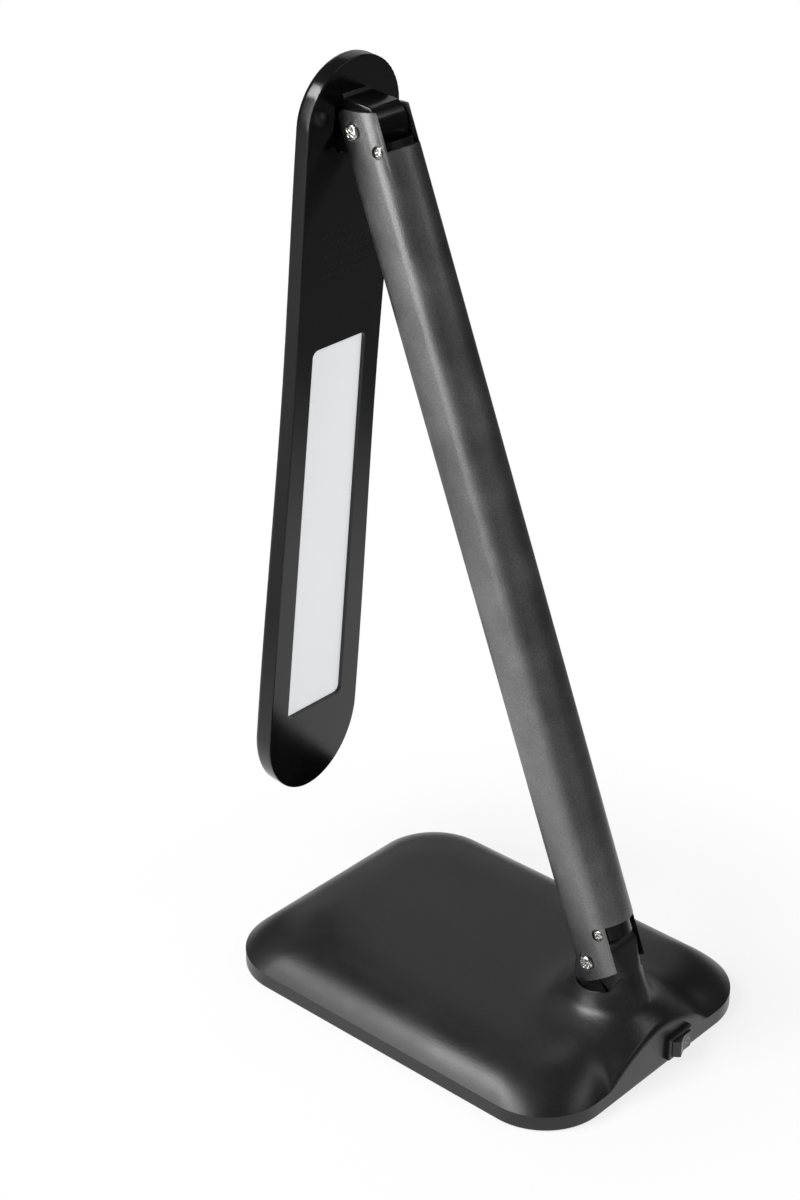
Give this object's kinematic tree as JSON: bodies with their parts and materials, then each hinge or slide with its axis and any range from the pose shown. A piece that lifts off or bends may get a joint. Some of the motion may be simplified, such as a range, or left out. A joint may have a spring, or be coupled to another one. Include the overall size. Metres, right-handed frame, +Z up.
{
  "type": "led desk lamp",
  "caption": "Folding desk lamp: weighted pillow base with a flared neck and rear rocker switch, D-section arm and flat rounded head with a light panel, hinged at both ends of the arm.",
  "frame": {"origin": "on the desk, at the middle of the base's anti-slip pad", "axes": "+Z up, front of the lamp toward -Y, switch on the rear face at +Y, +X to the lamp's left seen from the front"},
  "size_m": [0.14, 0.2157, 0.3984],
  "materials": {
    "satin_black_casing": "satin moulded black plastic with a fine texture",
    "plate_plastic": "plain black moulding",
    "screw_steel": "bright nickel plate",
    "pad_rubber": "matt foam rubber",
    "ballast_iron": "bare iron block",
    "board_laminate": "green circuit laminate",
    "component_plastic": "dark component cases",
    "socket_plastic": "black socket body",
    "switch_plastic": "fine textured black plastic",
    "terminal_brass": "stamped brass",
    "satin_black_arm": "satin black coat on an extrusion",
    "plug_plastic": "smooth black plastic",
    "cable_jacket": "soft jacket",
    "sleeve_steel": "turned steel",
    "washer_nylon": "natural nylon",
    "gloss_black_head": "high gloss black plastic",
    "opal_diffuser": "opal white light panel",
    "led_board_aluminium": "white coated metal-core board",
    "led_phosphor": "yellow phosphor"
  },
  "bodies": {
    "base": {"base_cover": "satin_black_casing", "base_plate": "plate_plastic", "base_plate_screws": "screw_steel", "antislip_pad": "pad_rubber", "counterweight": "ballast_iron", "counterweight_screws": "screw_steel", "driver_board": "board_laminate", "driver_components": "component_plastic", "power_inlet": "socket_plastic", "switch_housing": "switch_plastic", "switch_terminals": "terminal_brass"},
    "rocker": {"switch_rocker": "switch_plastic"},
    "arm": {"arm_tube": "satin_black_arm", "arm_lower_plug": "plug_plastic", "arm_upper_plug": "plug_plastic", "arm_plug_screws": "screw_steel", "arm_cable": "cable_jacket", "lower_pivot_screws": "screw_steel", "lower_pivot_sleeve": "sleeve_steel", "lower_friction_washers": "washer_nylon", "upper_pivot_screws": "screw_steel", "upper_pivot_sleeve": "sleeve_steel", "upper_friction_washers": "washer_nylon"},
    "head": {"head_cover": "gloss_black_head", "head_bezel": "gloss_black_head", "diffuser": "opal_diffuser", "led_board": "led_board_aluminium", "led_chips": "led_phosphor"}
  },
  "joints": [
    {"name": "arm_hinge", "type": "hinge", "parent": "base", "child": "arm", "pos_m": [0, 0.0633, 0.0449], "axis": [1, 0, 0], "range_deg": [-22, 68]},
    {"name": "head_hinge", "type": "hinge", "parent": "arm", "child": "head", "pos_m": [0, -0.06534, 0.37148], "axis": [1, 0, 0], "range_deg": [-77, 27]},
    {"name": "switch_rock", "type": "hinge", "parent": "base", "child": "rocker", "pos_m": [-0.0118, 0.0952, 0.0082], "axis": [0, 0, -1], "range_deg": [0, 24]}
  ]
}
